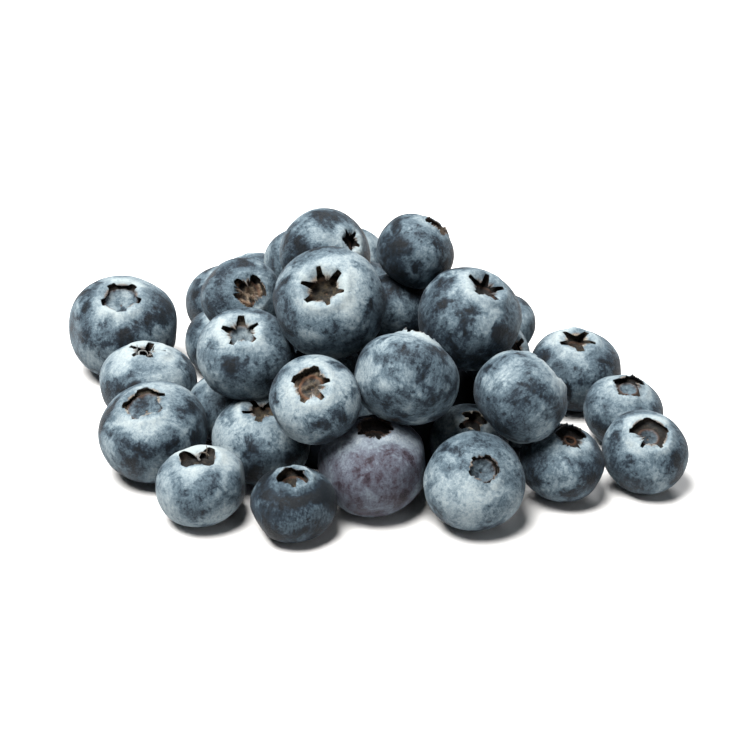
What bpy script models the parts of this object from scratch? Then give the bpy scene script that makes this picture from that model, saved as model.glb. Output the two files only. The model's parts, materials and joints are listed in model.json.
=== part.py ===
"""A loose heap of blueberries, modelled as one solid out to its uneven outline.

Every berry is a flattened ball with the shallow cup of its calyx, set where it
lies in the heap.  The berries are joined to each other and to a low mound
between them, and all is cut level where the heap stands on the table.
"""
import math

import bmesh
import bpy
from mathutils import Matrix, Vector

# ---------------------------------------------------------------- sizes
MM = 0.001

FULLER = 0.45 * MM         # each berry is drawn this much full, so that touching ones join
SINK = 0.45 * MM           # how deep the lowest berries press into the table before the cut

WELD = 0.003 * MM          # points nearer than this along a seam become one
CUTTER = 300 * MM          # side of the block that cuts the heap level

SEGMENTS = 14              # sides round a berry
RINGS = 6                  # rings from the stem end to the calyx
CUP_WIDTH = 0.46           # width of the calyx cup, as a share of the berry's width
CUP_DEPTH = 0.10           # its depth, as a share of the berry's width
CUP_FLOOR = 0.55           # width of the cup's floor, as a share of the cup's width
LIP_RISE = 0.02            # how far the lip stands proud, as a share of the berry's width

CORE_CENTRE = (-1.0, 3.0)  # middle of the mound between the berries, in mm
CORE_SIDES = 20
# height, half width across and half width front to back, in mm
CORE_STEPS = (
    (-2.0, 25.0, 23.0),
    (8.0, 22.0, 20.0),
    (16.0, 15.0, 13.0),
    (23.0, 8.0, 6.0),
)

SKIN_COLOUR = (0.085, 0.13, 0.19, 1.0)
SKIN_ROUGHNESS = 0.62

ON_TABLE = None            # a berry that lies on the table finds its own height

# Each berry: place across, place front to back, height of the middle, width,
# height over width, and the lean and bearing of its calyx in degrees.  Lean is
# measured from straight up, and bearing from the front (-Y) towards +X.
BERRIES = {
    # the fringe that lies on the table, from the left end round the front
    "left_end": (-42.0, 20.0, ON_TABLE, 19.0, 0.80, 15, 10),
    "left_second": (-36.5, 3.0, ON_TABLE, 16.5, 0.80, 5, 180),
    "left_third": (-34.5, -14.0, ON_TABLE, 18.0, 0.80, 15, -40),
    "left_front": (-26.0, -28.0, ON_TABLE, 14.5, 0.82, 5, -85),
    "front_dark": (-11.0, -32.5, ON_TABLE, 13.5, 0.78, 5, -25),
    "front_purple": (1.0, -24.0, ON_TABLE, 17.5, 0.85, 5, 45),
    "front_facing": (17.0, -29.0, ON_TABLE, 16.0, 0.84, 40, 20),
    "right_front": (31.5, -21.0, ON_TABLE, 14.0, 0.82, 15, 62),
    "right_end": (45.0, -18.0, ON_TABLE, 14.0, 0.85, 25, 10),
    "right_small": (42.5, -3.5, ON_TABLE, 13.0, 0.78, 10, 60),
    "right_back": (35.5, 9.0, ON_TABLE, 15.5, 0.80, 5, 0),
    # the rest of the bottom layer
    "low_front_left": (-17.0, -15.5, ON_TABLE, 16.0, 0.82, 8, 25),
    "low_left": (-23.0, -2.5, ON_TABLE, 13.0, 0.82, 5, 0),
    "low_front_right": (17.0, -13.5, ON_TABLE, 13.0, 0.82, 20, 10),
    "low_gap_right": (11.5, -2.0, ON_TABLE, 12.0, 0.84, 15, 0),
    "low_middle": (0.0, -9.5, ON_TABLE, 12.0, 0.84, 10, 200),
    "low_right": (26.0, -5.5, ON_TABLE, 12.0, 0.84, 90, 200),
    "low_middle_left": (-9.0, 0.5, ON_TABLE, 12.5, 0.84, 15, 100),
    "low_middle_back": (4.5, 9.0, ON_TABLE, 14.0, 0.84, 5, 30),
    "low_right_middle": (22.5, 6.0, ON_TABLE, 11.5, 0.84, 40, 100),
    "low_back_left": (-24.5, 19.5, ON_TABLE, 13.5, 0.80, 0, 0),
    "low_back_middle": (-9.5, 15.5, ON_TABLE, 14.5, 0.84, 10, 250),
    "low_back_right": (19.5, 21.5, ON_TABLE, 14.0, 0.84, 30, 160),
    "back_left": (-24.5, 33.0, ON_TABLE, 14.0, 0.85, 10, 0),
    "back_middle": (-10.0, 30.5, ON_TABLE, 14.5, 0.84, 15, 170),
    "back_right": (5.5, 23.5, ON_TABLE, 14.0, 0.84, 50, 185),
    # the second layer
    "mid_blue": (24.4, -19.0, 17.0, 15.6, 0.84, 52, 117),
    "mid_round": (6.5, -19.5, 20.5, 17.2, 0.80, 45, 156),
    "mid_open": (-8.0, -23.0, 19.0, 14.5, 0.85, 35, -10),
    "mid_star": (-19.5, -8.5, 18.5, 16.0, 0.84, 20, -15),
    "mid_small_right": (21.5, 0.5, 14.0, 12.0, 0.84, 60, 60),
    "mid_right": (22.5, 12.0, 13.0, 12.0, 0.84, 10, 0),
    "mid_hidden": (7.0, -7.0, 13.5, 13.5, 0.84, 10, 200),
    "mid_gap_left": (-6.5, -7.0, 14.0, 12.5, 0.84, 20, 0),
    "mid_left": (-20.0, 8.5, 10.5, 13.0, 0.84, 10, 200),
    "mid_middle": (-8.5, 5.0, 15.0, 13.0, 0.84, 20, 170),
    "mid_back": (0.0, 15.0, 15.5, 14.0, 0.84, 20, 180),
    "mid_back_left": (-19.0, 25.5, 13.5, 12.0, 0.84, 40, 200),
    "mid_far_back": (-3.0, 29.0, 15.5, 13.5, 0.84, 60, 190),
    "mid_back_right": (11.5, 12.5, 13.5, 10.5, 0.84, 70, 170),
    # the upper layers
    "high_torn": (-20.5, 6.0, 21.5, 13.5, 0.85, 50, 20),
    "high_back": (-10.5, 20.0, 20.5, 13.5, 0.84, 60, 185),
    "high_dark": (5.5, 2.5, 21.0, 13.5, 0.84, 60, 190),
    "high_right": (16.5, -7.5, 25.0, 17.0, 0.86, 25, 65),
    "high_facing": (-5.5, -8.0, 28.0, 18.0, 0.88, 40, -15),
    "top_left": (-7.0, 9.0, 28.0, 15.5, 0.84, 52, 58),
    "top_right": (8.0, 2.5, 32.0, 13.0, 0.86, 40, 100),
}


# ---------------------------------------------------------------- berries
def calyx_direction(lean, bearing):
    """Unit vector out through the calyx."""
    lean = math.radians(lean)
    bearing = math.radians(bearing)
    across = math.sin(lean) * math.sin(bearing)
    back = -math.sin(lean) * math.cos(bearing)
    return Vector((across, back, math.cos(lean)))


def table_height(width, flatness, direction):
    """Height of the middle of a flattened ball that just touches the table."""
    half = width / 2
    tall = half * flatness
    upright = direction.z ** 2
    return math.sqrt(half ** 2 * (1 - upright) + tall ** 2 * upright)


def berry_profile(width, flatness):
    """Radius and height of each ring, from the stem end to the cup's floor."""
    half = width / 2 + FULLER
    tall = half * flatness
    rim = half * CUP_WIDTH
    rim_angle = math.pi - math.asin(rim / half)
    steps = []
    for ring in range(1, RINGS + 1):
        angle = rim_angle * ring / RINGS
        steps.append((half * math.sin(angle), -tall * math.cos(angle)))
    rim_height = steps[-1][1]
    steps[-1] = (rim, rim_height + width * LIP_RISE)
    steps.append((rim * CUP_FLOOR, rim_height - width * CUP_DEPTH))
    return -tall, steps


def add_berry(name, place):
    """One berry as a closed mesh object."""
    across, back, up, width, flatness, lean, bearing = place
    direction = calyx_direction(lean, bearing)
    if up is ON_TABLE:
        up = table_height(width, flatness, direction)
    middle = Vector((across, back, up)) * MM
    pole, steps = berry_profile(width * MM, flatness)

    bm = bmesh.new()
    stem = bm.verts.new((0.0, 0.0, pole))
    rings = []
    for radius, height in steps:
        ring = []
        for side in range(SEGMENTS):
            turn = 2 * math.pi * side / SEGMENTS
            ring.append(bm.verts.new((radius * math.cos(turn), radius * math.sin(turn), height)))
        rings.append(ring)
    for side in range(SEGMENTS):
        after = (side + 1) % SEGMENTS
        bm.faces.new((stem, rings[0][after], rings[0][side]))
        for lower, upper in zip(rings, rings[1:]):
            bm.faces.new((lower[side], lower[after], upper[after], upper[side]))
    bm.faces.new(rings[-1])
    bmesh.ops.recalc_face_normals(bm, faces=bm.faces)

    turn = Vector((0, 0, 1)).rotation_difference(direction).to_matrix().to_4x4()
    bm.transform(Matrix.Translation(middle) @ turn)
    mesh = bpy.data.meshes.new(name)
    bm.to_mesh(mesh)
    bm.free()
    return bpy.data.objects.new(name, mesh)


# ---------------------------------------------------------------- mound and table
def add_core(name):
    """The mound between the berries: stacked ovals, level below and on top."""
    bm = bmesh.new()
    rings = []
    for height, across, back in CORE_STEPS:
        ring = []
        for side in range(CORE_SIDES):
            turn = 2 * math.pi * side / CORE_SIDES
            x = CORE_CENTRE[0] + across * math.cos(turn)
            y = CORE_CENTRE[1] + back * math.sin(turn)
            ring.append(bm.verts.new((x * MM, y * MM, height * MM)))
        rings.append(ring)
    bm.faces.new(list(reversed(rings[0])))
    for lower, upper in zip(rings, rings[1:]):
        for side in range(CORE_SIDES):
            after = (side + 1) % CORE_SIDES
            bm.faces.new((lower[side], lower[after], upper[after], upper[side]))
    bm.faces.new(rings[-1])
    bmesh.ops.recalc_face_normals(bm, faces=bm.faces)
    mesh = bpy.data.meshes.new(name)
    bm.to_mesh(mesh)
    bm.free()
    return bpy.data.objects.new(name, mesh)


def add_block(name, size, top):
    """A square block below the given height, to cut the heap level."""
    bm = bmesh.new()
    bmesh.ops.create_cube(bm, size=size)
    bm.transform(Matrix.Translation((0, 0, top - size / 2)))
    mesh = bpy.data.meshes.new(name)
    bm.to_mesh(mesh)
    bm.free()
    return bpy.data.objects.new(name, mesh)


# ---------------------------------------------------------------- build
for old in list(bpy.data.objects):
    bpy.data.objects.remove(old, do_unlink=True)

scene = bpy.context.scene
scene.unit_settings.system = "METRIC"

berries = bpy.data.collections.new("berries_to_join")
scene.collection.children.link(berries)
for name, place in BERRIES.items():
    berry = add_berry("berry_" + name, place)
    berry.hide_render = True
    berry.display_type = "WIRE"
    berries.objects.link(berry)

# Centre the footprint on the origin, and press the lowest berries into the table.
corners = [vertex.co for berry in berries.objects for vertex in berry.data.vertices]
middle_x = (min(c.x for c in corners) + max(c.x for c in corners)) / 2
middle_y = (min(c.y for c in corners) + max(c.y for c in corners)) / 2
shift = Matrix.Translation((-middle_x, -middle_y, FULLER - SINK))
for berry in berries.objects:
    berry.data.transform(shift)

heap = add_core("blueberry_heap")
heap.data.transform(Matrix.Translation((-middle_x, -middle_y, 0)))
scene.collection.objects.link(heap)

join = heap.modifiers.new("join_berries", "BOOLEAN")
join.operation = "UNION"
join.operand_type = "COLLECTION"
join.collection = berries
join.solver = "EXACT"

table = add_block("table_cutter", CUTTER, 0.0)
table.hide_render = True
table.display_type = "WIRE"
scene.collection.objects.link(table)

level = heap.modifiers.new("cut_level", "BOOLEAN")
level.operation = "DIFFERENCE"
level.object = table
level.solver = "EXACT"

tidy = heap.modifiers.new("join_close_points", "WELD")
tidy.merge_threshold = WELD

skin = bpy.data.materials.new("blueberry_skin")
skin.use_nodes = True
shader = skin.node_tree.nodes["Principled BSDF"]
shader.inputs["Base Color"].default_value = SKIN_COLOUR
shader.inputs["Roughness"].default_value = SKIN_ROUGHNESS
shader.inputs["Metallic"].default_value = 0.0
heap.data.materials.append(skin)
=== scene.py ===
import json
import math

import bpy
import numpy as np
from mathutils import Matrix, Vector

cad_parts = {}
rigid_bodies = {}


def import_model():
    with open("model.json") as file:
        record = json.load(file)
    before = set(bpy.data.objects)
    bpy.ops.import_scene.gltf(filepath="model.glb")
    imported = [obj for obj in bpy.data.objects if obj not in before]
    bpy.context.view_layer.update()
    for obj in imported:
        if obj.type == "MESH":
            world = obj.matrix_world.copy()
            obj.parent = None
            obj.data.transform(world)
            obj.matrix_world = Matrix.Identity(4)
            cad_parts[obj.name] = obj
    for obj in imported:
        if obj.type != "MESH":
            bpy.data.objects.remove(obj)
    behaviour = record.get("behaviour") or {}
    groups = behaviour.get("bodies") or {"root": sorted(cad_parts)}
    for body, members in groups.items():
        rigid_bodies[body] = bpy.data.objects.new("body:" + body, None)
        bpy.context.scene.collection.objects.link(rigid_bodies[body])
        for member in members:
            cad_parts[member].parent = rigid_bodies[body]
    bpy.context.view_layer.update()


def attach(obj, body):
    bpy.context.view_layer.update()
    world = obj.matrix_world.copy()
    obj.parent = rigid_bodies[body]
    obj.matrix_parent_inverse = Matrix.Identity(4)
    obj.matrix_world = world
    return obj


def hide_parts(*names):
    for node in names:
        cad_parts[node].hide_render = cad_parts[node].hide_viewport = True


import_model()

# ---------------------------------------------------------------- table, lamps and camera
# The heap lies on a plain white table.  A wide soft lamp hangs high on the left, a
# weaker one stands in front on the right, and another lights the far edges.

MM = 0.001
scene = bpy.context.scene
scene.view_settings.view_transform = "Standard"

VIEW_DOWN = math.radians(30)
VIEW_DISTANCE = 500 * MM
VIEW_LENS = 148.8
AIM = Vector((1.2, -12.4, 17.2)) * MM
HEAP_CENTRE = Vector((0, 0, 15)) * MM

camera_data = bpy.data.cameras.new("camera")
camera_data.lens = VIEW_LENS
camera_data.clip_start = 10 * MM
camera = bpy.data.objects.new("camera", camera_data)
camera.location = AIM + Vector((0, -math.cos(VIEW_DOWN), math.sin(VIEW_DOWN))) * VIEW_DISTANCE
camera.rotation_euler = (math.pi / 2 - VIEW_DOWN, 0, 0)
scene.collection.objects.link(camera)
scene.camera = camera


def shade(red, green, blue):
    """A colour in the usual 0 to 255 steps, as a shader wants it."""
    steps = (red / 255, green / 255, blue / 255)
    return tuple(s / 12.92 if s <= 0.04045 else ((s + 0.055) / 1.055) ** 2.4 for s in steps) + (1.0,)


def hang_lamp(name, place, width, watts, colour):
    """A round soft lamp that faces the heap."""
    data = bpy.data.lights.new(name, "AREA")
    data.shape = "DISK"
    data.size = width
    data.energy = watts
    data.color = shade(*colour)[:3]
    lamp = bpy.data.objects.new(name, data)
    lamp.location = Vector(place)
    lamp.rotation_euler = (HEAP_CENTRE - lamp.location).to_track_quat("-Z", "Y").to_euler()
    scene.collection.objects.link(lamp)


hang_lamp("high_left_lamp", place=(-0.32, -0.22, 1.12), width=0.75, watts=59.0, colour=(255, 253, 250))
hang_lamp("front_right_lamp", place=(0.75, -0.95, 0.65), width=0.80, watts=2.5, colour=(246, 250, 255))
hang_lamp("far_lamp", place=(0.25, 0.95, 0.85), width=0.60, watts=12.0, colour=(255, 255, 255))

studio = bpy.data.worlds.new("studio")
studio.use_nodes = True
studio.node_tree.nodes["Background"].inputs["Color"].default_value = shade(250, 252, 255)
studio.node_tree.nodes["Background"].inputs["Strength"].default_value = 0.07
scene.world = studio

TABLE_HALF = 3.0
table_mesh = bpy.data.meshes.new("table")
corners = [(TABLE_HALF * side, TABLE_HALF * end, 0) for side, end in ((-1, -1), (1, -1), (1, 1), (-1, 1))]
table_mesh.from_pydata(corners, [], [(0, 1, 2, 3)])
table = bpy.data.objects.new("table", table_mesh)
scene.collection.objects.link(table)
table_paint = bpy.data.materials.new("white_table")
table_paint.use_nodes = True
paint = table_paint.node_tree.nodes["Principled BSDF"]
paint.inputs["Base Color"].default_value = (0.55, 0.55, 0.55, 1.0)
paint.inputs["Roughness"].default_value = 0.7
table_mesh.materials.append(table_paint)

# ---------------------------------------------------------------- skin and wax bloom
# The skin is nearly black-blue.  A whitish wax, the bloom, lies over it, thick round
# the calyx and rubbed thin in soft patches where berries have lain together.


def new_node(tree, kind, place=(0, 0), inputs=None, **settings):
    """A node of one kind, with its settings and the values of its inputs."""
    node = tree.nodes.new(kind)
    node.location = place
    for name, value in settings.items():
        setattr(node, name, value)
    for name, value in (inputs or {}).items():
        node.inputs[name].default_value = value
    return node


def colour_ramp(tree, source, stops, place):
    """A colour ramp with these stops, led by the given output."""
    node = new_node(tree, "ShaderNodeValToRGB", place)
    points = node.color_ramp.elements
    points[0].position, points[0].color = stops[0]
    points[1].position, points[1].color = stops[-1]
    for position, colour in stops[1:-1]:
        points.new(position).color = colour
    tree.links.new(source, node.inputs["Fac"])
    return node.outputs["Color"]


def wax_bloom_group():
    """How thick the wax lies at each place on a berry, and the fine grain of the skin."""
    tree = bpy.data.node_groups.new("wax_bloom", "ShaderNodeTree")
    tree.interface.new_socket("Place", in_out="INPUT", socket_type="NodeSocketVector")
    for name, value in (("Bloom", 0.5), ("Rubbed", 0.5), ("Collar", 0.0)):
        tree.interface.new_socket(name, in_out="INPUT", socket_type="NodeSocketFloat").default_value = value
    for name in ("Thickness", "Grain"):
        tree.interface.new_socket(name, in_out="OUTPUT", socket_type="NodeSocketFloat")
    given = new_node(tree, "NodeGroupInput", (-1500, 0))
    result = new_node(tree, "NodeGroupOutput", (900, 0))
    link = tree.links.new

    # Scales are in repeats per millimetre; height only sets where a node is drawn.
    def noise(scale, detail, rough, twist, height, source=None):
        values = {"Scale": scale, "Detail": detail, "Roughness": rough, "Distortion": twist}
        node = new_node(tree, "ShaderNodeTexNoise", (-1250, height), values)
        link(source or given.outputs["Place"], node.inputs["Vector"])
        return node.outputs["Fac"]

    def spread(source, low, high, least, most, height):
        values = {"From Min": low, "From Max": high, "To Min": least, "To Max": most}
        node = new_node(tree, "ShaderNodeMapRange", (-1000, height), values, interpolation_type="SMOOTHSTEP")
        link(source, node.inputs["Value"])
        return node.outputs["Result"]

    def maths(operation, first, second, place, clamp=False):
        node = new_node(tree, "ShaderNodeMath", place, operation=operation, use_clamp=clamp)
        link(first, node.inputs[0])
        if isinstance(second, float):
            node.inputs[1].default_value = second
        else:
            link(second, node.inputs[1])
        return node.outputs[0]

    clouds = spread(noise(0.15, 2.0, 0.5, 0.5, 600), 0.34, 0.66, -0.22, 0.22, 600)
    patches = spread(noise(0.27, 4.0, 0.58, 0.4, 400), 0.46, 0.70, 0.0, 0.70, 400)
    smudges = spread(noise(0.70, 5.0, 0.62, 0.4, 200), 0.52, 0.74, 0.0, 0.50, 200)
    mottle = spread(noise(2.0, 7.0, 0.78, 0.4, 0), 0.28, 0.72, -0.15, 0.15, 0)
    stretch = new_node(tree, "ShaderNodeMapping", (-1450, -250), {"Scale": (1.6, 1.6, 0.28)})
    link(given.outputs["Place"], stretch.inputs["Vector"])
    streaks = noise(1.1, 4.0, 0.65, 0.6, -200, stretch.outputs["Vector"])
    streaks = spread(streaks, 0.3, 0.7, -0.07, 0.07, -200)
    pores = spread(noise(4.6, 2.0, 0.5, 0.0, -400), 0.66, 0.74, 0.0, 0.22, -400)
    crumbs = spread(noise(3.7, 3.0, 0.55, 0.0, -600), 0.68, 0.76, 0.0, 0.22, -600)

    rubbed = maths("ADD", patches, smudges, (-750, 300))
    rubbed = maths("MULTIPLY", rubbed, given.outputs["Rubbed"], (-550, 300))
    beyond_collar = spread(given.outputs["Collar"], 0.2, 1.0, 1.0, 0.15, 100)
    rubbed = maths("MULTIPLY", rubbed, beyond_collar, (-450, 250))
    total = maths("ADD", given.outputs["Bloom"], clouds, (-750, 500))
    total = maths("SUBTRACT", total, rubbed, (-350, 400))
    grain = maths("ADD", mottle, streaks, (-750, -100))
    grain = maths("SUBTRACT", grain, pores, (-550, -200))
    total = maths("ADD", total, grain, (-150, 300))
    total = maths("ADD", total, crumbs, (50, 300))
    collar = maths("MULTIPLY", given.outputs["Collar"], 0.28, (-350, 100))
    total = maths("ADD", total, collar, (250, 300), clamp=True)
    link(total, result.inputs["Thickness"])
    link(grain, result.inputs["Grain"])
    return tree


wax_bloom = wax_bloom_group()


def berry_material(name, skin_stops):
    """Waxy skin, dry brown tissue on sepals and ring, and an olive-brown cup, whose colour also lies as
    painted shade at the base of the sepals' inner faces.
    """
    material = bpy.data.materials.new(name)
    material.use_nodes = True
    tree = material.node_tree
    link = tree.links.new
    shader = tree.nodes["Principled BSDF"]
    shader.location = (900, 0)
    tree.nodes["Material Output"].location = (1200, 0)

    place = new_node(tree, "ShaderNodeAttribute", (-1300, 300), attribute_name="skin_place")
    marks = new_node(tree, "ShaderNodeAttribute", (-1300, 0), attribute_name="calyx_marks")
    tone = new_node(tree, "ShaderNodeAttribute", (-1300, -300), attribute_name="berry_tone")
    mark = new_node(tree, "ShaderNodeSeparateColor", (-1100, 0))
    link(marks.outputs["Color"], mark.inputs["Color"])
    own = new_node(tree, "ShaderNodeSeparateColor", (-1100, -300))
    link(tone.outputs["Color"], own.inputs["Color"])

    bloom = new_node(tree, "ShaderNodeGroup", (-850, 200), node_tree=wax_bloom)
    link(place.outputs["Vector"], bloom.inputs["Place"])
    link(own.outputs["Red"], bloom.inputs["Bloom"])
    link(own.outputs["Green"], bloom.inputs["Rubbed"])
    link(mark.outputs["Red"], bloom.inputs["Collar"])
    skin = colour_ramp(tree, bloom.outputs["Thickness"], skin_stops, (-550, 300))

    fibre_values = {"Scale": 1.5, "Detail": 6.0, "Roughness": 0.7, "Distortion": 0.8}
    fibres = new_node(tree, "ShaderNodeTexNoise", (-1100, -550), fibre_values)
    link(place.outputs["Vector"], fibres.inputs["Vector"])

    def fibre_colour(paleness, stops, height):
        shift = new_node(tree, "ShaderNodeMath", (-800, height), {1: 0.6}, operation="MULTIPLY_ADD")
        link(paleness, shift.inputs[0])
        link(fibres.outputs["Fac"], shift.inputs[2])
        return colour_ramp(tree, shift.outputs[0], stops, (-550, height))

    dry = fibre_colour(own.outputs["Blue"], DRY_STOPS, -150)
    cup = fibre_colour(tone.outputs["Alpha"], CUP_STOPS, -450)

    def lay_over(amount, under, over, where):
        node = new_node(tree, "ShaderNodeMix", where, data_type="RGBA")
        link(amount, node.inputs[0])
        link(under, node.inputs[6])
        link(over, node.inputs[7])
        return node.outputs[2]

    colour = lay_over(mark.outputs["Blue"], skin, cup, (-200, 200))
    colour = lay_over(mark.outputs["Green"], colour, dry, (50, 200))
    ring = new_node(tree, "ShaderNodeMix", (300, 200), data_type="RGBA")
    link(marks.outputs["Alpha"], ring.inputs[0])
    link(colour, ring.inputs[6])
    ring.inputs[7].default_value = shade(84, 57, 40)
    link(ring.outputs[2], shader.inputs["Base Color"])

    rough = new_node(tree, "ShaderNodeMapRange", (-200, 0), {"To Min": 0.50, "To Max": 0.76})
    link(bloom.outputs["Thickness"], rough.inputs["Value"])
    link(rough.outputs["Result"], shader.inputs["Roughness"])

    relief = new_node(tree, "ShaderNodeMath", (300, -300), operation="MULTIPLY_ADD")
    link(fibres.outputs["Fac"], relief.inputs[0])
    link(mark.outputs["Green"], relief.inputs[1])
    link(bloom.outputs["Grain"], relief.inputs[2])
    bump = new_node(tree, "ShaderNodeBump", (550, -300), {"Strength": 0.8, "Distance": 0.2 * MM})
    link(relief.outputs[0], bump.inputs["Height"])
    link(bump.outputs["Normal"], shader.inputs["Normal"])

    shader.inputs["Specular IOR Level"].default_value = 0.12
    shader.inputs["Sheen Weight"].default_value = 0.05
    shader.inputs["Sheen Roughness"].default_value = 0.5
    shader.inputs["Sheen Tint"].default_value = shade(205, 218, 230)
    return material


DRY_STOPS = (
    (0.34, shade(18, 14, 11)),
    (0.50, shade(42, 32, 25)),
    (0.66, shade(76, 59, 46)),
    (0.86, shade(124, 112, 96)),
    (1.00, shade(152, 146, 132)),
)
CUP_STOPS = (
    (0.35, shade(6, 6, 6)),
    (0.60, shade(20, 17, 13)),
    (0.80, shade(50, 43, 31)),
    (1.00, shade(100, 90, 66)),
)
blue_skin = berry_material("blue_skin", (
    (0.00, shade(5, 10, 15)),
    (0.22, shade(21, 31, 40)),
    (0.50, shade(66, 80, 89)),
    (0.78, shade(108, 120, 126)),
    (1.00, shade(131, 140, 142)),
))
purple_skin = berry_material("purple_skin", (
    (0.00, shade(24, 18, 24)),
    (0.22, shade(46, 40, 48)),
    (0.50, shade(69, 73, 83)),
    (0.78, shade(97, 106, 114)),
    (1.00, shade(122, 129, 134)),
))

# ---------------------------------------------------------------- berries with a star
# Each berry is a flattened ball with a raised collar at the top.  The dried sepals
# grow from the collar: here they fold into the cup and leave a star open between them.

# Sizes are shares of the berry's half width, angles are in degrees.  A sepal's fold is
# 0 level over the cup, below 0 dipping in, 90 standing up and above 90 bent outwards.
CALYX = {
    "sepals": 5,
    "turn": 0,            # where the first notch between sepals lies
    "collar": 0.40,       # radius of the raised collar
    "rise": 0.04,         # how far the collar stands up
    "white": 1.0,         # how thick the bloom lies round the collar
    "halo": 0.20,         # how far out that reaches
    "length": 0.22,       # of a sepal
    "lengths": None,      # of each sepal, as a share of that
    "fold": -15,
    "folds": None,        # of each sepal, added to that
    "curl": -25,          # extra bend toward the tip
    "round": 2.0,         # 1 for pointed sepals, 3 for blunt ones
    "gap": 0.18,          # width of the notch between sepals
    "uneven": 0.12,       # how much sepals differ
    "ragged": 0.05,       # how torn their edges are
    "thick": 0.045,
    "depth": 0.26,        # of the cup
    "disc": 0.62,         # radius of the disc in it, as a share of the collar's
    "dry": 0.30,          # how far down a sepal the skin has dried
    "inner_dry": 0.6,
    "ring": 0.3,          # how brown the disc's ring is
    "pale": 0.0,          # how much bloom lies on the disc
    "crumbled": 0.0,      # how far the cup is filled with torn dry tissue
    "pinch": 0.05,        # how much narrower the berry gets toward its stem
}

# The same for every berry, again in shares of its half width.
SKIN_RINGS = 36
RING_CROWDING = 1.35      # above 1 the rings lie closer toward the collar
SHOULDERS = 2.3           # 2 for a round outline, more for squarer shoulders
HIGH_WAIST = 0.03         # how far the widest place lies above the middle
CROWN_SPREAD = 0.085      # how far the raised collar runs out over the skin
STEM_SPREAD = 0.10        # the small scar at the stem end
STEM_DEPTH = 0.05
SEPAL_RINGS = 7
SEPAL_START = 15          # slope of a sepal where it leaves the collar, in degrees
DRY_EDGE = 0.35           # how softly the dried part of a sepal begins
CUP_TAPER = 0.14          # how much narrower the cup is at its floor
RIDGE_HEIGHT = 0.035      # the ring round the disc, and how wide it is
RIDGE_SPREAD = 0.06
BOWL_DEPTH = 0.045        # how far the disc sinks, and the style's scar in it
SCAR_DEPTH = 0.05

# How strongly the skin swells in and out of that shape, in mm.
WIDE_SWELL = 0.26         # over the whole berry
FINE_SWELL = 0.035        # in small dents
COLLAR_WRINKLE = 0.06     # where the bloom is thick round the collar


def smooth(x):
    """A soft step from 0 at 0 to 1 at 1."""
    x = np.clip(x, 0, 1)
    return x * x * (3 - 2 * x)


def swells(points, seed, count, longest, shortest):
    """Smooth random swells over space, mostly within -1 to 1."""
    rng = np.random.default_rng(seed)
    total = np.zeros(len(points))
    for _ in range(count):
        direction = rng.normal(size=3)
        direction /= np.linalg.norm(direction)
        length = rng.uniform(shortest, longest)
        total += np.sin(points @ direction * (2 * math.pi / length) + rng.uniform(0, 2 * math.pi))
    return total / math.sqrt(count)


def press_flats(points, seed, count):
    """Flatten the ball a little where other berries have pressed on it."""
    rng = np.random.default_rng(seed)
    for _ in range(count):
        bearing = rng.uniform(0, 2 * math.pi)
        height = rng.uniform(-0.75, 0.25)
        level = math.sqrt(1 - height ** 2)
        direction = np.array([level * math.cos(bearing), level * math.sin(bearing), height])
        along = points @ direction
        over = np.maximum(along - along.max() * rng.uniform(0.88, 0.96), 0)
        points = points - direction * (over ** 2 / (over + 0.8))[:, None]
    return points


def wrapped_faces(around, rings):
    """Faces that join rings of points, closed at both ends by a single point."""
    here = np.arange(around)
    beside = np.roll(here, -1)
    starts = 1 + around * np.arange(rings - 1)
    top = 1 + around * (rings - 1)
    quads = [np.column_stack([s + here, s + beside, s + around + beside, s + around + here]) for s in starts]
    fans = [
        np.column_stack([0 * here, 1 + beside, 1 + here]),
        np.column_stack([0 * here + top + around, top + here, top + beside]),
    ]
    return np.concatenate(quads), np.concatenate(fans)


def calyx_sepals(calyx, seed, turn):
    """Length, fold and evenness of the sepal at each turn round the calyx."""
    rng = np.random.default_rng(seed)
    count = calyx["sepals"]
    widths = 1 + 0.6 * calyx["uneven"] * rng.uniform(-1, 1, count)
    notches = np.concatenate(([0], np.cumsum(widths / widths.sum()))) * 2 * np.pi
    inside = np.mod(turn - math.radians(calyx["turn"]), 2 * np.pi)
    which = np.clip(np.searchsorted(notches, inside, side="right") - 1, 0, count - 1)
    across = 2 * (inside - notches[which]) / (notches[which + 1] - notches[which]) - 1
    lengths = calyx["length"] * (1 + calyx["uneven"] * rng.uniform(-1.2, 0.9, count))
    folds = calyx["fold"] + 60 * calyx["uneven"] * rng.uniform(-1, 1, count)
    if calyx["lengths"]:
        lengths = calyx["length"] * np.array(calyx["lengths"])
    if calyx["folds"]:
        folds = calyx["fold"] + np.array(calyx["folds"])
    tilt = rng.uniform(-0.2, 0.2, count)[which]
    off_middle = np.abs(across + tilt * (1 - across ** 2)) / (1 - calyx["gap"])
    power = calyx["round"]
    shape = np.clip(1 - off_middle ** power, 0, 1) ** (1 / max(power - 0.3, 1))
    torn = sum(rng.uniform(0.3, 1) * np.sin(turn * n + rng.uniform(0, 6.3)) for n in (9, 14, 21, 29, 43)) / 2
    length = np.maximum(lengths[which] * shape * (1 + 2.2 * calyx["ragged"] * torn) + 0.03, 0.02)
    return length, folds[which] + 18 * calyx["uneven"] * torn, shape, torn


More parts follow.
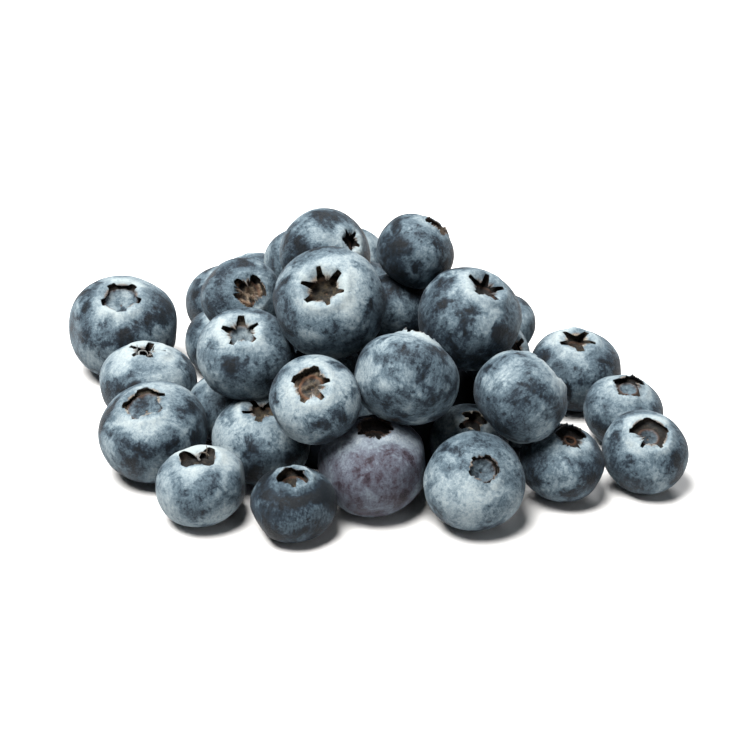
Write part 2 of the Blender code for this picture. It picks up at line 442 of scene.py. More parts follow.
def berry(width, flatness, seed, around, **own):
    """Points, faces and colour marks of one berry in mm, its calyx up."""
    calyx = {**CALYX, **own}
    half = width / 2
    turn = 2 * np.pi * np.arange(around) / around
    length, fold, shape, torn = calyx_sepals(calyx, seed, turn)
    collar = calyx["collar"] * (1 + 0.03 * np.sin(2 * turn + seed) + 0.015 * torn)
    none = np.zeros(around)
    rings = []           # radius, height, collar bloom, dryness, cup and ring mark of each

    # The skin, from the stem end over the shoulder to the collar.
    last = np.pi - np.arcsin(collar ** (SHOULDERS / 2))
    for number in range(1, SKIN_RINGS + 1):
        angle = last * (1 - (1 - number / SKIN_RINGS) ** RING_CROWDING)
        above = np.cos(angle) < 0
        radius = np.sin(angle) ** (2 / SHOULDERS)
        height = -flatness * np.sign(np.cos(angle)) * np.abs(np.cos(angle)) ** (2 / SHOULDERS)
        radius = radius * (1 - calyx["pinch"] * np.clip(-height / flatness, 0, 1))
        height = height + HIGH_WAIST * (1 - height ** 2)
        crown = np.exp(-((radius - collar - 0.02) / CROWN_SPREAD) ** 2) * above
        height = height + calyx["rise"] * crown * (0.75 + 0.4 * shape)
        stem = np.exp(-(radius / STEM_SPREAD) ** 2) * ~above
        height = height + STEM_DEPTH * stem
        halo = calyx["white"] * np.exp(-((radius - collar) / calyx["halo"]) ** 2) * above
        rings.append((radius, height, halo, 0.8 * stem, none, none))
    rim_radius, rim_height = rings[-1][:2]

    # The outer face of the sepals, out to their tips, and back along the inner face.
    radius, height = rim_radius, rim_height
    outer = []
    most_dried = 0.3 + 0.7 * smooth(calyx["dry"] * 2)
    for number in range(1, SEPAL_RINGS + 1):
        share = number / SEPAL_RINGS
        bend = SEPAL_START + (fold - SEPAL_START) * smooth(share / 0.5) + calyx["curl"] * share * shape
        bend = np.radians(bend)
        radius = radius - length / SEPAL_RINGS * np.cos(bend)
        height = height + length / SEPAL_RINGS * np.sin(bend)
        outer.append((radius, height, bend, share))
        dried = smooth((share * shape - 1 + calyx["dry"]) / DRY_EDGE + 0.5) * most_dried
        rings.append((radius, height, calyx["white"] * (1 - 0.3 * share * shape), dried, none, none))
    for radius, height, bend, share in reversed(outer):
        thin = calyx["thick"] * (1 - 0.45 * share)
        dried = none + calyx["inner_dry"]
        # Painted shade: the cup's dark brown runs up the inner face, strongest at the sepal's base where it
        # folds into the cup.
        painted_shade_in = none + 0.5 * (1 - share)
        radius = radius - thin * np.sin(bend)
        height = height - thin * np.cos(bend)
        rings.append((radius, height, none, dried, painted_shade_in, none))

    # The wall of the cup, and its floor: a disc with a ring round it and a small scar.
    depth = calyx["depth"]
    top_of_wall = 1.5 * calyx["thick"]
    for share in (0.15, 0.4, 0.65, 0.85, 1.0):
        radius = rim_radius * (0.98 - CUP_TAPER * share ** 3)
        height = rim_height - top_of_wall - (depth - top_of_wall) * share
        rings.append((radius, height, none, none + 0.3 * (1 - share), none + 0.95, none))
    floor = rim_height.mean() - depth
    disc = calyx["disc"]
    for share in (0.80, disc + 0.09, disc + 0.03, disc - 0.03, disc - 0.10, 0.35, 0.22, 0.12, 0.06):
        ridge = math.exp(-((share - disc) / RIDGE_SPREAD) ** 2)
        bowl = BOWL_DEPTH * smooth((disc - share) / 0.4) + SCAR_DEPTH * math.exp(-(share / 0.09) ** 2)
        radius = half * share * rim_radius
        spots = np.column_stack([radius * np.cos(turn), radius * np.sin(turn), none])
        rough = swells(spots, seed + 5, 8, 1.6, 0.7)
        height = none + floor + RIDGE_HEIGHT * ridge - bowl + (0.01 + 0.07 * calyx["crumbled"]) * rough
        covered = calyx["pale"] * smooth((disc - share) / 0.1 + 0.5)
        rings.append((
            rim_radius * share, height, none + 0.5 * covered, none + calyx["crumbled"] * smooth(rough + 0.8),
            none + 0.95 * (1 - covered), none + calyx["ring"] * ridge,
        ))

    spokes = np.column_stack([np.cos(turn), np.sin(turn)])
    points = [[[0, 0, 0.05 - flatness]]]
    marks = [[[0, 0.8, 0, 0]]]
    for radius, height, *ring_marks in rings:
        points.append(np.column_stack([spokes * radius[:, None], height]))
        marks.append(np.column_stack(ring_marks))
    points.append([[0, 0, floor - 0.10]])
    marks.append([[0, 0.5, 0.5, 0.3]])
    points = np.concatenate(points) * half
    marks = np.concatenate(marks)

    outward = points / np.maximum(np.linalg.norm(points, axis=1, keepdims=True), 1e-6)
    swell = WIDE_SWELL * swells(points, seed + 1, 5, 28, 13) + FINE_SWELL * swells(points, seed + 2, 8, 7, 3)
    points = points + outward * swell[:, None]
    points = press_flats(points, seed + 3, 5)
    points[:, 2] += COLLAR_WRINKLE * marks[:, 0] * swells(points, seed + 4, 9, 3.2, 1.3)

    return points, *wrapped_faces(around, len(rings)), marks


def middle_and_axis(x, y, z, width, flatness, lean, bearing):
    """Where a berry's middle lies, in mm, and which way its calyx looks."""
    lean, bearing = math.radians(lean), math.radians(bearing)
    if z is ON_TABLE:
        z = width / 2 * math.hypot(math.sin(lean), flatness * math.cos(lean))
    axis = (math.sin(lean) * math.sin(bearing), -math.sin(lean) * math.cos(bearing), math.cos(lean))
    return np.array([x, y, z]) - HEAP_MIDDLE, Vector(axis)


def set_down(own, place):
    """A berry's points turned by its lean and set in its place on the table."""
    middle, axis = middle_and_axis(*place)
    turned = np.array(Vector((0, 0, 1)).rotation_difference(axis).to_matrix())
    placed = own @ turned.T + middle
    placed[:, 2] = np.maximum(placed[:, 2], 0.0)
    return placed * MM


def berry_mesh(name, points, faces, sizes, attributes, material):
    """A smooth mesh from points and face corners, with its own named values."""
    mesh = bpy.data.meshes.new(name)
    mesh.vertices.add(len(points))
    mesh.vertices.foreach_set("co", points.ravel())
    mesh.loops.add(len(faces))
    mesh.loops.foreach_set("vertex_index", faces)
    mesh.polygons.add(len(sizes))
    mesh.polygons.foreach_set("loop_start", np.concatenate(([0], np.cumsum(sizes)[:-1])))
    mesh.update(calc_edges=True)
    for attribute, kind, field, values in attributes:
        mesh.attributes.new(attribute, kind, "POINT").data.foreach_set(field, values.ravel())
    mesh.polygons.foreach_set("use_smooth", np.ones(len(mesh.polygons), bool))
    mesh.materials.append(material)
    return mesh


def make_berries(name, layout, material, around=112):
    """One piece of several berries, each with its own place, calyx and bloom."""
    points, faces, sizes, marks, places, tones = [], [], [], [], [], []
    count = 0
    for place, tone, seed, calyx in layout:
        own, quads, fans, own_marks = berry(place[3], place[4], seed, around, **calyx)
        points.append(set_down(own, place))
        faces += [(quads + count).ravel(), (fans + count).ravel()]
        sizes += [np.full(len(quads), 4), np.full(len(fans), 3)]
        marks.append(own_marks)
        places.append(own + np.array([37.0 * seed, 11.0 * seed, 0.0]))
        tones.append(np.tile(np.array(tone, float), (len(own), 1)))
        count += len(own)
    attributes = (
        ("skin_place", "FLOAT_VECTOR", "vector", np.concatenate(places)),
        ("calyx_marks", "FLOAT_COLOR", "color", np.concatenate(marks)),
        ("berry_tone", "FLOAT_COLOR", "color", np.concatenate(tones)),
    )
    points, faces, sizes = (np.concatenate(parts) for parts in (points, faces, sizes))
    lay_in_heap(name, berry_mesh(name, points, faces, sizes, attributes, material))


def lay_in_heap(name, mesh):
    """Hand a finished piece of the heap over."""
    piece = bpy.data.objects.new(name, mesh)
    scene.collection.objects.link(piece)
    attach(piece, "root")
    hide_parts("blueberry_heap")


ON_TABLE = None
HEAP_MIDDLE = np.array([0.313, 0.382, 0.0])     # middle of the heap's footprint

# Place: right, away and height in mm, width, flatness, lean and its bearing in degrees.
# Tone: bloom, how rubbed, how pale the dry tissue is and how light the cup is.
make_berries("berries_with_star", (
    ((-5.5, -8.0, 28.0, 18.0, 0.88, 40, -15), (0.56, 0.62, 0.42, 0.32), 1,
     dict(sepals=6, turn=38, collar=0.42, length=0.28, round=1.9, gap=0.20, fold=-30, uneven=0.18,
          dry=0.35, depth=0.34, inner_dry=0.35, white=1.1, halo=0.24)),
    ((16.5, -7.5, 25.0, 17.0, 0.86, 25, 65), (0.44, 0.62, 0.15, 0.0), 2,
     dict(turn=20, collar=0.39, length=0.25, round=1.9, gap=0.24, fold=-18, ragged=0.08, rise=0.05,
          white=1.1, inner_dry=0.35)),
    ((-19.5, -8.5, 18.5, 16.0, 0.84, 20, -15), (0.54, 0.60, 0.25, 0.3), 3,
     dict(turn=24, collar=0.43, length=0.25, round=1.9, gap=0.24, fold=-12, uneven=0.25, ragged=0.1,
          depth=0.2, pale=0.7, ring=0.3)),
    ((35.5, 9.0, ON_TABLE, 15.5, 0.80, 5, 0), (0.36, 0.60, 0.5, 0.2), 4,
     dict(turn=54, collar=0.46, length=0.25, round=2.0, gap=0.26, fold=-5, uneven=0.2, rise=0.06,
          white=1.5, halo=0.26, lengths=(0.9, 0.9, 1.0, 1.2, 1.1))),
    ((-34.5, -14.0, ON_TABLE, 18.0, 0.80, 15, -40), (0.52, 0.60, 0.5, 0.3), 5,
     dict(turn=18, collar=0.46, length=0.12, round=2.2, gap=0.30, fold=15, uneven=0.3, ragged=0.12,
          depth=0.13, pale=0.95, ring=0.3, disc=0.74, dry=0.25, inner_dry=0.45)),
    ((21.5, 0.5, 14.0, 12.0, 0.84, 60, 60), (0.42, 0.50, 0.3, 0.1), 6, dict(gap=0.3, round=2.6)),
), blue_skin, around=136)

# ---------------------------------------------------------------- berries with an open cup
# The sepals of these are short or broken off, so that the cup lies open and shows the
# brown ring and the bloomed disc where the flower stood.
make_berries("berries_with_open_cup", (
    ((-8.0, -23.0, 19.0, 14.5, 0.85, 35, -10), (0.52, 0.64, 0.40, 0.30), 11,
     dict(turn=10, collar=0.48, length=0.15, fold=12, uneven=0.6, ragged=0.15, depth=0.22, disc=0.55,
          ring=0.8, pale=0.15, crumbled=0.25, round=2.4, gap=0.25, lengths=(0.9, 0.6, 0.9, 1.5, 1.7),
          white=0.8)),
    ((-42.0, 20.0, ON_TABLE, 19.0, 0.80, 15, 10), (0.50, 0.66, 0.2, 0.1), 12,
     dict(turn=54, collar=0.40, length=0.11, fold=0, round=2.8, gap=0.36, uneven=0.25, disc=0.72,
          ring=0.15, pale=0.9, depth=0.14)),
    ((-11.0, -32.5, ON_TABLE, 13.5, 0.78, 5, -25), (0.13, 0.65, 0.30, 0.15), 13,
     dict(turn=30, collar=0.42, length=0.15, fold=35, round=2.2, uneven=0.4, ragged=0.12, rise=0.11,
          depth=0.22, gap=0.3, ring=0.4, dry=0.1, inner_dry=0.3, white=1.7, halo=0.17)),
    ((17.0, -29.0, ON_TABLE, 16.0, 0.84, 40, 20), (0.60, 0.50, 0.25, 0.2), 14,
     dict(collar=0.34, length=0.06, fold=20, round=2.4, gap=0.3, uneven=0.5, ragged=0.25, depth=0.14,
          pale=0.8, ring=0.15, rise=0.03, disc=0.72, white=0.5, dry=0.3, inner_dry=0.45)),
    ((45.0, -18.0, ON_TABLE, 14.0, 0.85, 25, 10), (0.48, 0.55, 0.3, 0.1), 15,
     dict(turn=20, collar=0.50, length=0.16, fold=0, round=2.6, gap=0.2, uneven=0.2, depth=0.17,
          disc=0.46, pale=0.6, ring=0.35, lengths=(0.4, 0.5, 2.1, 1.0, 0.7), ragged=0.1, white=1.2,
          inner_dry=0.35)),
    ((-20.5, 6.0, 21.5, 13.5, 0.85, 50, 20), (0.44, 0.55, 0.40, 0.10), 16,
     dict(collar=0.46, length=0.17, fold=-5, uneven=0.6, ragged=0.25, dry=0.3, ring=0.5, depth=0.22,
          inner_dry=0.6, crumbled=0.7, gap=0.25)),
), blue_skin, around=128)

# ---------------------------------------------------------------- berries with curled sepals
# The sepals of these have dried into curls that stand up or lean over the cup, so the
# opening is dark and partly hidden.
SECOND_BERRY = (-36.5, 3.0, ON_TABLE, 16.5, 0.80, 5, 180)
FRONT_BERRY = (-26.0, -28.0, ON_TABLE, 14.5, 0.82, 5, -85)
make_berries("berries_with_curled_sepals", (
    (SECOND_BERRY, (0.50, 0.55, 0.2, 0.0), 21,
     dict(turn=0, collar=0.42, length=0.30, round=1.9, gap=0.24, fold=-4, uneven=0.3, ragged=0.08,
          white=1.3, halo=0.26, ring=0.0)),
    (FRONT_BERRY, (0.58, 0.55, 0.3, 0.1), 22,
     dict(sepals=4, turn=50, collar=0.50, length=0.36, round=1.3, gap=0.22,
          lengths=(1.0, 0.3, 1.1, 0.35), fold=-8, uneven=0.2, ragged=0.06, ring=0.0)),
    ((31.5, -21.0, ON_TABLE, 14.0, 0.82, 15, 62), (0.44, 0.60, 0.1, 0.0), 23,
     dict(turn=18, collar=0.44, length=0.20, gap=0.05, round=2.6, folds=(70, 80, 10, 0, 20),
          uneven=0.3, ragged=0.15, depth=0.10, disc=0.30, ring=0.7, pale=0.0, inner_dry=0.3)),
    ((42.5, -3.5, ON_TABLE, 13.0, 0.78, 10, 60), (0.35, 0.45, 0.2, 0.0), 24,
     dict(turn=18, collar=0.46, length=0.20, gap=0.10, folds=(75, 60, 10, -5, 50), uneven=0.3,
          ragged=0.15, rise=0.06, depth=0.12, disc=0.5, ring=0.35, pale=0.9, inner_dry=0.4, white=1.6)),
    ((17.0, -13.5, ON_TABLE, 13.0, 0.82, 20, 10), (0.42, 0.50, 0.7, 0.1), 25,
     dict(collar=0.42, length=0.24, round=1.4, fold=40, uneven=0.4)),
    ((-17.0, -15.5, ON_TABLE, 16.0, 0.82, 8, 25), (0.53, 0.60, 0.3, 0.35), 26,
     dict(turn=54, collar=0.42, length=0.24, round=2.4, gap=0.30, fold=-8, uneven=0.2,
          lengths=(1.0, 0.9, 0.9, 1.1, 0.8), depth=0.18, white=0.9)),
    ((-23.0, -2.5, ON_TABLE, 13.0, 0.82, 5, 0), (0.52, 0.45, 0.3, 0.2), 27, dict()),
), blue_skin)

# ---------------------------------------------------------------- the purple berry
# One berry at the front is less ripe: its skin is wine purple under the bloom.  It lies
# on the table, and two berries of the next layer lie on it.
make_berries("berry_purple", (
    ((1.0, -24.0, ON_TABLE, 17.5, 0.85, 5, 45), (0.53, 0.60, 0.05, 0.0), 31,
     dict(collar=0.40, length=0.16, fold=0, uneven=0.5, ragged=0.2, dry=0.5, gap=0.1, white=0.7)),
), purple_skin)

# ---------------------------------------------------------------- berries turned away
# The same ripe fruit, of which mostly plain skin shows: six lean to a side or away, and
# three stand upright behind the others, two of them on the table.
make_berries("berries_turned_away", (
    ((24.4, -19.0, 17.0, 15.6, 0.84, 52, 117), (0.50, 0.58, 0.2, 0.1), 41,
     dict(pinch=0.02, collar=0.50, rise=0.05, length=0.1, fold=20)),
    ((6.5, -19.5, 20.5, 17.2, 0.80, 45, 156), (0.53, 0.60, 0.1, 0.1), 42,
     dict(length=0.07, fold=60, uneven=0.4, ragged=0.2, rise=0.05)),
    ((-7.0, 9.0, 28.0, 15.5, 0.84, 52, 58), (0.47, 0.60, 0.1, 0.0), 43,
     dict(collar=0.28, length=0.13, ragged=0.15)),
    ((8.0, 2.5, 32.0, 13.0, 0.86, 40, 100), (0.36, 0.65, 0.3, 0.1), 44,
     dict(length=0.08, fold=20, uneven=0.6, ragged=0.25, dry=0.3, gap=0.3)),
    ((-10.5, 20.0, 20.5, 13.5, 0.84, 60, 185), (0.50, 0.45, 0.3, 0.2), 45, dict(gap=0.3, round=2.6)),
    ((-24.5, 33.0, ON_TABLE, 14.0, 0.85, 10, 0), (0.50, 0.45, 0.3, 0.2), 46, dict(length=0.15, uneven=0.4)),
    ((-24.5, 19.5, ON_TABLE, 13.5, 0.80, 0, 0), (0.50, 0.45, 0.3, 0.2), 47, dict(round=1.6, fold=10)),
    ((22.5, 12.0, 13.0, 12.0, 0.84, 10, 0), (0.46, 0.45, 0.3, 0.2), 48, dict(gap=0.3, round=2.6)),
    ((5.5, 2.5, 21.0, 13.5, 0.84, 60, 190), (0.42, 0.55, 0.3, 0.2), 49, dict(gap=0.28)),
), blue_skin)

# ---------------------------------------------------------------- dried tendrils
# On two berries the tips of the sepals and the dead style have dried to stiff pale
# threads: some stand up like hairs and some curl over the cup.


def thread(path, thick, sides=7):
    """Points and faces of a round thread along a path, thinner toward its end."""
    path = np.array(path, float)
    along = np.gradient(path, axis=0)
    along /= np.linalg.norm(along, axis=1, keepdims=True)
    across = np.cross(along, (0.31, 0.62, 0.21))
    across /= np.linalg.norm(across, axis=1, keepdims=True)
    up = np.cross(along, across)
    turn = 2 * np.pi * np.arange(sides) / sides
    widths = thick / 2 * (1 - 0.7 * np.linspace(0, 1, len(path)) ** 1.5)
    rings = [
        spot + width * (np.cos(turn)[:, None] * side + np.sin(turn)[:, None] * rise)
        for spot, width, side, rise in zip(path, widths, across, up)
    ]
    points = np.concatenate([path[:1] - along[0] * thick / 3, *rings, path[-1:] + along[-1] * widths[-1]])
    return points, *wrapped_faces(sides, len(path))


def curl(start, radius, from_turn, to_turn, rise):
    """A path that starts at a place and curls round like a hook."""
    turns = np.radians(np.linspace(from_turn, to_turn, 18))
    centre = np.array(start) - radius * np.array([math.cos(turns[0]), math.sin(turns[0]), 0.0])
    lift = rise * np.sin(np.linspace(0, math.pi, 18))
    return centre + np.column_stack([radius * np.cos(turns), radius * np.sin(turns), lift])


# Which berry, how thick, and the path over it in mm, measured from the berry's middle.
tendrils = (
    (SECOND_BERRY, 0.42, [(-1.5, -1.2, 6.0), (-1.6, -1.0, 6.6), (-1.4, -0.9, 7.2), (-1.5, -0.7, 7.7)]),
    (SECOND_BERRY, 0.38, curl((-0.7, -2.3, 6.2), 0.75, 250, -20, 0.5)),
    (SECOND_BERRY, 0.34, curl((1.9, -2.0, 6.2), 0.65, 280, 90, 0.4)),
    (SECOND_BERRY, 0.34, [(1.0, 0.6, 6.0), (1.1, 0.4, 6.5), (1.3, 0.3, 7.0)]),
    (FRONT_BERRY, 0.32, [(1.6, -0.4, 5.4), (1.5, -0.2, 6.3), (1.7, 0.0, 7.0), (1.6, 0.1, 7.5)]),
    (FRONT_BERRY, 0.40, curl((0.5, -1.6, 5.9), 0.9, 230, 20, 0.5)),
)
points, faces, sizes, count = [], [], [], 0
for place, thick, path in tendrils:
    own, quads, fans = thread(path, thick)
    points.append(set_down(own, place))
    faces += [(quads + count).ravel(), (fans + count).ravel()]
    sizes += [np.full(len(quads), 4), np.full(len(fans), 3)]
    count += len(own)
points = np.concatenate(points)
attributes = (
    ("skin_place", "FLOAT_VECTOR", "vector", points / MM),
    ("calyx_marks", "FLOAT_COLOR", "color", np.tile([0.0, 0.35, 0.0, 0.0], (len(points), 1))),
    ("berry_tone", "FLOAT_COLOR", "color", np.tile([0.36, 0.3, 0.5, 0.2], (len(points), 1))),
)
lay_in_heap(
    "dried_tendrils",
    berry_mesh("dried_tendrils", points, np.concatenate(faces), np.concatenate(sizes), attributes, blue_skin),
)

# ---------------------------------------------------------------- berries behind and within
# The rest of the heap: berries that show from behind and those that hold the others up.
# Geometry Nodes set one of three grown berries at each place, turned and sized to it.


def berries_at_places_tree():
    """Berries picked from a collection, one at each point, made real at the end."""
    tree = bpy.data.node_groups.new("berries_at_places", "GeometryNodeTree")
    for name, kind in (
        ("Places", "NodeSocketGeometry"),
        ("Grown Berries", "NodeSocketCollection"),
        ("Grown Width", "NodeSocketFloat"),
        ("Skin", "NodeSocketMaterial"),
        ("Least Bloom", "NodeSocketFloat"),
        ("Most Bloom", "NodeSocketFloat"),
        ("Seed", "NodeSocketInt"),
    ):
        tree.interface.new_socket(name, in_out="INPUT", socket_type=kind)
    tree.interface.new_socket("Berries", in_out="OUTPUT", socket_type="NodeSocketGeometry")
    link = tree.links.new
    given = new_node(tree, "NodeGroupInput", (-1200, 0))
    result = new_node(tree, "NodeGroupOutput", (1200, 0))

    def named(name, kind, place):
        node = new_node(tree, "GeometryNodeInputNamedAttribute", place, {"Name": name}, data_type=kind)
        return node.outputs["Attribute"]

    def stored(name, kind, domain, geometry, value, place):
        settings = dict(data_type=kind, domain=domain)
        node = new_node(tree, "GeometryNodeStoreNamedAttribute", place, {"Name": name}, **settings)
        link(geometry, node.inputs["Geometry"])
        link(value, node.inputs["Value"])
        return node.outputs["Geometry"]

    def chance(kind, place, span=None):
        limits = dict(zip(("Min", "Max"), span)) if span else None
        node = new_node(tree, "FunctionNodeRandomValue", place, limits, data_type=kind)
        link(given.outputs["Seed"], node.inputs["Seed"])
        return node

    grown = new_node(tree, "GeometryNodeCollectionInfo", (-900, -100))
    grown.inputs["Separate Children"].default_value = True
    grown.inputs["Reset Children"].default_value = True
    link(given.outputs["Grown Berries"], grown.inputs["Collection"])

    size = new_node(tree, "ShaderNodeMath", (-700, -350), operation="DIVIDE")
    link(named("width", "FLOAT", (-900, -350)), size.inputs[0])
    link(given.outputs["Grown Width"], size.inputs[1])

    spin = chance("FLOAT_VECTOR", (-900, -600), ((0, 0, 0), (0, 0, 2 * math.pi)))
    start = new_node(tree, "FunctionNodeEulerToRotation", (-700, -600))
    link(spin.outputs["Value"], start.inputs[0])
    align = new_node(tree, "FunctionNodeAlignRotationToVector", (-500, -600), axis="Z")
    link(start.outputs[0], align.inputs["Rotation"])
    link(named("axis", "FLOAT_VECTOR", (-900, -850)), align.inputs["Vector"])

    pick = chance("INT", (-700, -1000), (0, 2))
    setting = new_node(tree, "GeometryNodeInstanceOnPoints", (-250, 0))
    setting.inputs["Pick Instance"].default_value = True
    link(given.outputs["Places"], setting.inputs["Points"])
    link(grown.outputs[0], setting.inputs["Instance"])
    link(pick.outputs["Value"], setting.inputs["Instance Index"])
    link(align.outputs["Rotation"], setting.inputs["Rotation"])
    link(size.outputs[0], setting.inputs["Scale"])

    apart = chance("FLOAT_VECTOR", (-250, -300), ((100, 100, 0), (900, 900, 0)))
    instances = setting.outputs["Instances"]
    shifted = stored("skin_shift", "FLOAT_VECTOR", "INSTANCE", instances, apart.outputs["Value"], (0, 0))

    bloom = chance("FLOAT", (0, -500))
    link(given.outputs["Least Bloom"], bloom.inputs["Min"])
    link(given.outputs["Most Bloom"], bloom.inputs["Max"])
    tone = new_node(tree, "FunctionNodeCombineColor", (200, -500), {"Green": 0.5, "Blue": 0.3, "Alpha": 0.15})
    link(bloom.outputs["Value"], tone.inputs["Red"])
    toned = stored("berry_tone", "FLOAT_COLOR", "INSTANCE", shifted, tone.outputs["Color"], (200, 0))

    real = new_node(tree, "GeometryNodeRealizeInstances", (400, 0))
    link(toned, real.inputs["Geometry"])
    there = new_node(tree, "ShaderNodeVectorMath", (600, -300), operation="ADD")
    link(named("skin_place", "FLOAT_VECTOR", (400, -300)), there.inputs[0])
    link(named("skin_shift", "FLOAT_VECTOR", (400, -500)), there.inputs[1])
    berries = real.outputs["Geometry"]
    placed = stored("skin_place", "FLOAT_VECTOR", "POINT", berries, there.outputs["Vector"], (700, 0))
    cover = new_node(tree, "GeometryNodeSetMaterial", (950, 0))
    link(placed, cover.inputs["Geometry"])
    link(given.outputs["Skin"], cover.inputs["Material"])
    link(cover.outputs["Geometry"], result.inputs["Berries"])
    return tree


def grow_berries(name, around, calyxes):
    """A collection of berries of one width at the origin, to be set in their places."""
    grown = bpy.data.collections.new(name)
    for number, (seed, calyx) in enumerate(calyxes):
        own, quads, fans, marks = berry(GROWN_WIDTH, GROWN_FLATNESS, seed, around, **calyx)
        corners = np.concatenate([quads.ravel(), fans.ravel()])
        sizes = np.concatenate([np.full(len(quads), 4), np.full(len(fans), 3)])
        attributes = (
            ("skin_place", "FLOAT_VECTOR", "vector", own + np.array([37.0 * seed, 11.0 * seed, 0.0])),
            ("calyx_marks", "FLOAT_COLOR", "color", marks),
        )
        mesh = berry_mesh(f"{name}_{number}", own * MM, corners, sizes, attributes, blue_skin)
        grown.objects.link(bpy.data.objects.new(mesh.name, mesh))
    return grown


def set_berries(name, layout, grown, seed):
    """One piece of the berries that Geometry Nodes set at these places."""
    spots, axes, widths = [], [], []
    for x, y, z, width, lean, bearing in layout:
        middle, axis = middle_and_axis(x, y, z, width, GROWN_FLATNESS, lean, bearing)
        spots.append(middle * MM)
        axes.append(axis)
        widths.append(width * MM)
    places = bpy.data.meshes.new(name + "_places")
    places.from_pydata([tuple(spot) for spot in spots], [], [])
    places.attributes.new("axis", "FLOAT_VECTOR", "POINT").data.foreach_set("vector", np.array(axes).ravel())
    places.attributes.new("width", "FLOAT", "POINT").data.foreach_set("value", widths)
    holder = bpy.data.objects.new(name + "_places", places)
    scene.collection.objects.link(holder)
    setter = holder.modifiers.new("berries_at_places", "NODES")
    setter.node_group = berries_at_places
    sockets = berries_at_places.interface.items_tree
    sockets = {item.name: item.identifier for item in sockets if item.in_out == "INPUT"}
    for name_of_input, value in (
        ("Grown Berries", grown),
        ("Grown Width", GROWN_WIDTH * MM),
        ("Skin", blue_skin),
        ("Least Bloom", 0.40),
        ("Most Bloom", 0.58),
        ("Seed", seed),
    ):
        setter[sockets[name_of_input]] = value
    mesh = bpy.data.meshes.new_from_object(holder.evaluated_get(bpy.context.evaluated_depsgraph_get()))
    holder.modifiers.remove(setter)
    bpy.data.objects.remove(holder)
    for master in list(grown.objects):
        bpy.data.objects.remove(master)
    bpy.data.collections.remove(grown)
    mesh.name = name
    spots = np.empty(3 * len(mesh.vertices))
    mesh.vertices.foreach_get("co", spots)
    spots[2::3] = np.maximum(spots[2::3], 0.0)
    mesh.vertices.foreach_set("co", spots)
    lay_in_heap(name, mesh)


GROWN_WIDTH = 13.5
GROWN_FLATNESS = 0.84
berries_at_places = berries_at_places_tree()
grown_calyxes = (
    (51, dict(gap=0.24, length=0.22)),
    (52, dict(collar=0.44, length=0.14, fold=20, uneven=0.4, depth=0.2, pale=0.5, ring=0.7)),
    (53, dict(collar=0.38, length=0.24, round=1.5, fold=35, uneven=0.4)),
)

# Right, away and height in mm, width, lean and its bearing in degrees.
set_berries("berries_behind", (
    (19.5, 21.5, ON_TABLE, 14.0, 30, 160),
    (-10.0, 30.5, ON_TABLE, 14.5, 15, 170),
    (5.5, 23.5, ON_TABLE, 14.0, 50, 185),
    (-19.0, 25.5, 13.5, 12.0, 40, 200),
    (-3.0, 29.0, 15.5, 13.5, 60, 190),
    (11.5, 12.5, 13.5, 10.5, 70, 170),
    (0.0, 15.0, 15.5, 14.0, 100, 180),
    (-9.5, 15.5, ON_TABLE, 14.5, 90, 250),
    (22.5, 6.0, ON_TABLE, 11.5, 40, 100),
    (-20.0, 8.5, 9.5, 11.5, 80, 250),
), grow_berries("grown_behind", 96, grown_calyxes), 5)
set_berries("berries_within", (
    (11.5, -2.0, ON_TABLE, 12.0, 90, 200),
    (0.0, -9.5, ON_TABLE, 12.0, 80, 190),
    (26.0, -5.5, ON_TABLE, 12.0, 90, 200),
    (-9.0, 0.5, ON_TABLE, 12.5, 90, 100),
    (4.5, 9.0, ON_TABLE, 14.0, 100, 170),
    (7.0, -7.0, 13.5, 13.5, 100, 200),
    (-6.5, -7.0, 14.0, 12.5, 120, 190),
    (-8.5, 5.0, 15.0, 13.0, 100, 170),
), grow_berries("grown_within", 56, grown_calyxes), 9)
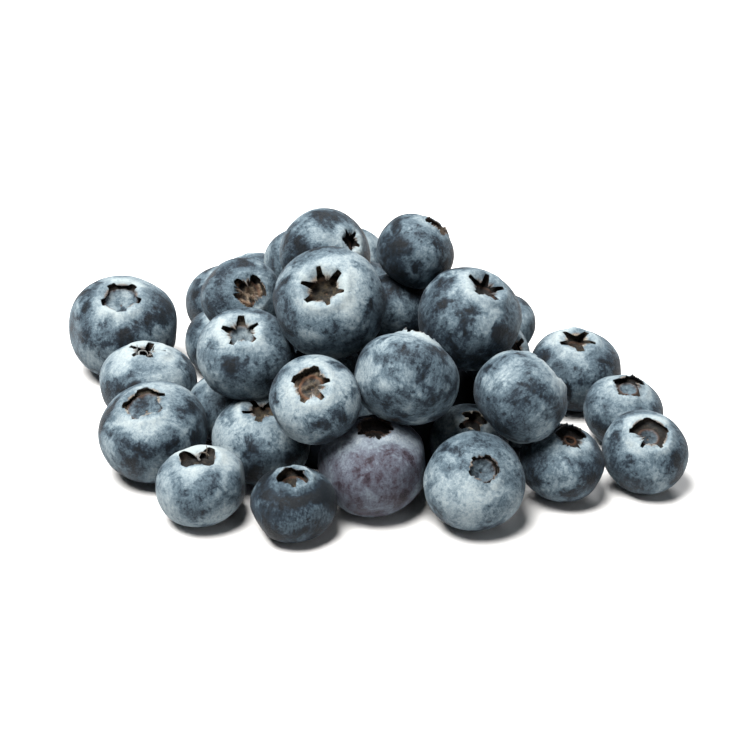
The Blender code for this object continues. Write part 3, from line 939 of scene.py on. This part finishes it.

# ---------------------------------------------------------------- the dark middle
# Between the lowest berries no light gets in.  A low lumpy mound fills the middle and is hidden by the
# berries on all sides but for the gaps between them; its colour is painted shade, as dark as skin in full
# shade.
MOUND_MIDDLE = (3.0, 1.0)
MOUND_HALVES = (23.0, 16.5)
MOUND_HEIGHT = 17.0
MOUND_LUMPS = 0.09
MOUND_AROUND = 72
MOUND_RINGS = 20

levels = math.pi / 2 * np.arange(MOUND_RINGS, 0, -1) / MOUND_RINGS
turn = 2 * np.pi * np.arange(MOUND_AROUND) / MOUND_AROUND
mound_points = np.concatenate([
    [[0, 0, 0]],
    *(np.column_stack([np.sin(level) * np.cos(turn), np.sin(level) * np.sin(turn), np.cos(level) + 0 * turn])
      for level in levels),
    [[0, 0, 1]],
]) * (*MOUND_HALVES, MOUND_HEIGHT)
lumps = 1.0 - MOUND_LUMPS * np.abs(swells(mound_points, 7, 6, 15, 9))
mound_points[:, :2] *= lumps[:, None]
mound_points[:, 2] = np.maximum(mound_points[:, 2] * lumps, 0.0)
mound_points += (*MOUND_MIDDLE, 0.0) - HEAP_MIDDLE
quads, fans = wrapped_faces(MOUND_AROUND, MOUND_RINGS)
mound_mesh = bpy.data.meshes.new("dark_middle")
mound_mesh.from_pydata((mound_points * MM).tolist(), [], quads.tolist() + fans.tolist())
mound_mesh.polygons.foreach_set("use_smooth", np.ones(len(mound_mesh.polygons), bool))

# Painted shade: near-black blue with faint noise, so the mound reads as the shade between the berries.
shaded_skin = bpy.data.materials.new("shaded_skin")
shaded_skin.use_nodes = True
shaded = shaded_skin.node_tree
gloom = new_node(shaded, "ShaderNodeTexCoord", (-900, 0))
painted_shade_noise = new_node(shaded, "ShaderNodeTexNoise", (-700, 0), {"Scale": 260.0, "Detail": 4.0})
shaded.links.new(gloom.outputs["Object"], painted_shade_noise.inputs["Vector"])
painted_shade_colour = colour_ramp(
    shaded, painted_shade_noise.outputs["Fac"], ((0.35, shade(4, 6, 8)), (0.70, shade(18, 24, 31))), (-450, 0)
)
shaded.links.new(painted_shade_colour, shaded.nodes["Principled BSDF"].inputs["Base Color"])
shaded.nodes["Principled BSDF"].inputs["Roughness"].default_value = 0.8
shaded.nodes["Principled BSDF"].inputs["Specular IOR Level"].default_value = 0.1
mound_mesh.materials.append(shaded_skin)
lay_in_heap("dark_middle", mound_mesh)
